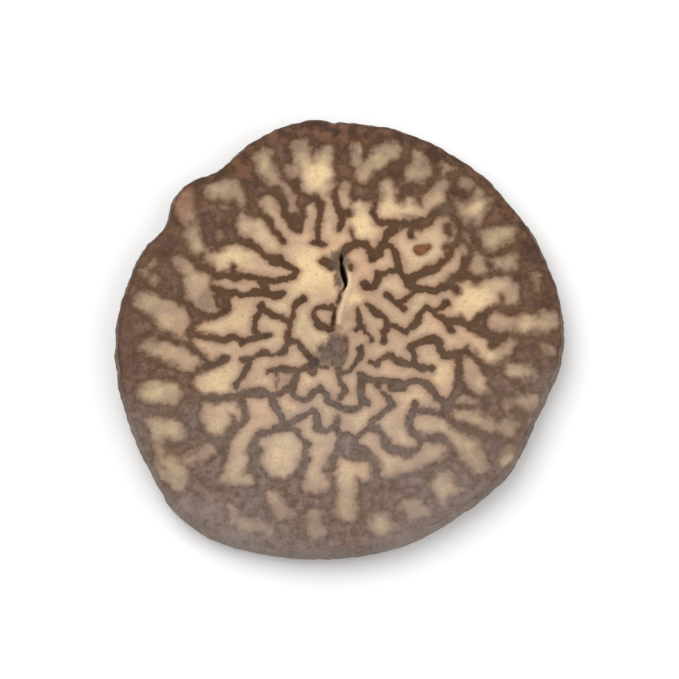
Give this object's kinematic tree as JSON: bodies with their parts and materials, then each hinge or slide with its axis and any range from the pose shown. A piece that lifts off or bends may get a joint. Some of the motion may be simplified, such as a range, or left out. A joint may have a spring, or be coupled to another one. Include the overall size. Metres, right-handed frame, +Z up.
{
  "type": "betel nut slice",
  "caption": "Thin round slice of dried betel nut, cut across: cream flesh with brown folded veins, a split near the middle and a brown skin round the edge.",
  "frame": {"origin": "under the middle of the slice, on the surface that it rests on", "axes": "+Z up through the thickness, out of the shown cut face; +X to the picture's right; +Y away from the viewer"},
  "size_m": [0.0284, 0.0292, 0.0026],
  "materials": {
    "nut": "matt, dry: cream and brown marbled cut face, brown skin at the side"
  },
  "bodies": {
    "root": {"betel_nut_slice": "nut"}
  },
  "joints": []
}
